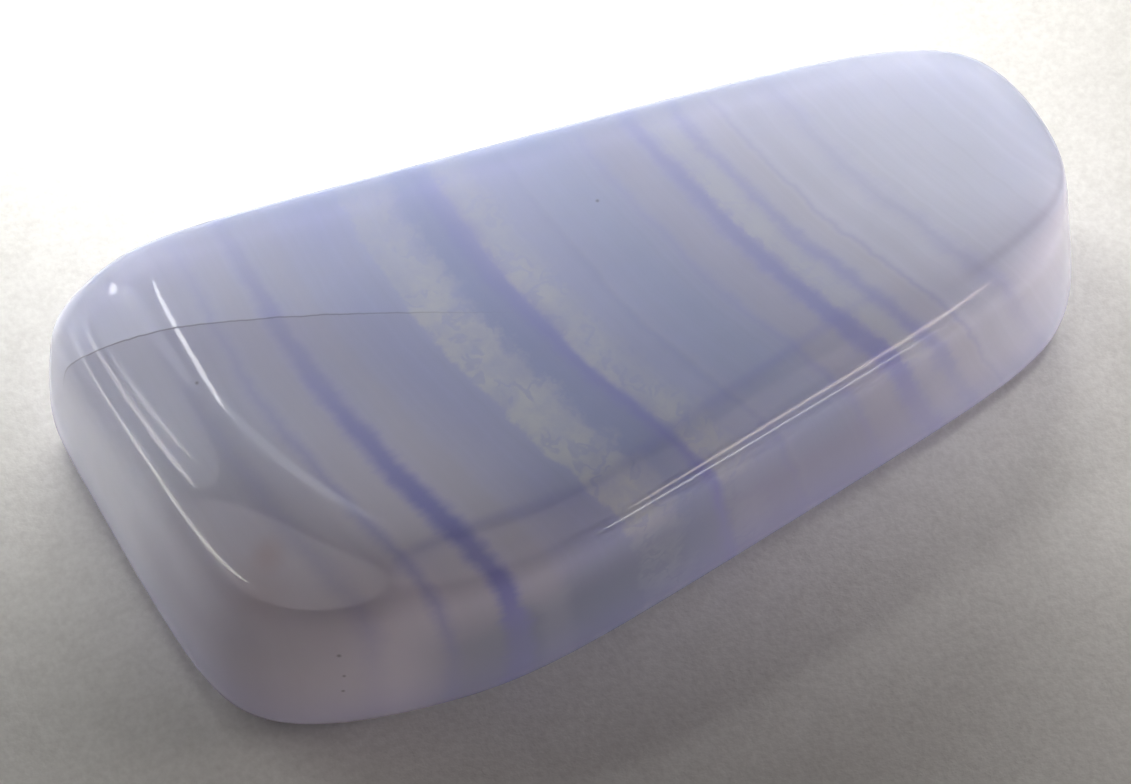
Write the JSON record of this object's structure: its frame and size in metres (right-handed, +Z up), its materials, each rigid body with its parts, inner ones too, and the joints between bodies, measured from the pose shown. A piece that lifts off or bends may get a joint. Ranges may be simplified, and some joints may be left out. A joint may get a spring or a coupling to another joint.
{
  "type": "blue lace agate",
  "caption": "Tumble-polished oblong piece of banded blue lace agate, one solid stone with rounded edges, a flat top and a flat underside to rest on.",
  "frame": {"origin": "on the resting surface, under the middle of the stone's outline", "axes": "+X along the stone's length from the broad blunt end towards the narrow rounded tip, +Y across its width towards the back, +Z up through its thickness"},
  "size_m": [0.0332, 0.017, 0.008],
  "materials": {
    "agate": "polished, translucent, banded periwinkle blue and milky white"
  },
  "bodies": {
    "root": {"agate": "agate"}
  },
  "joints": []
}
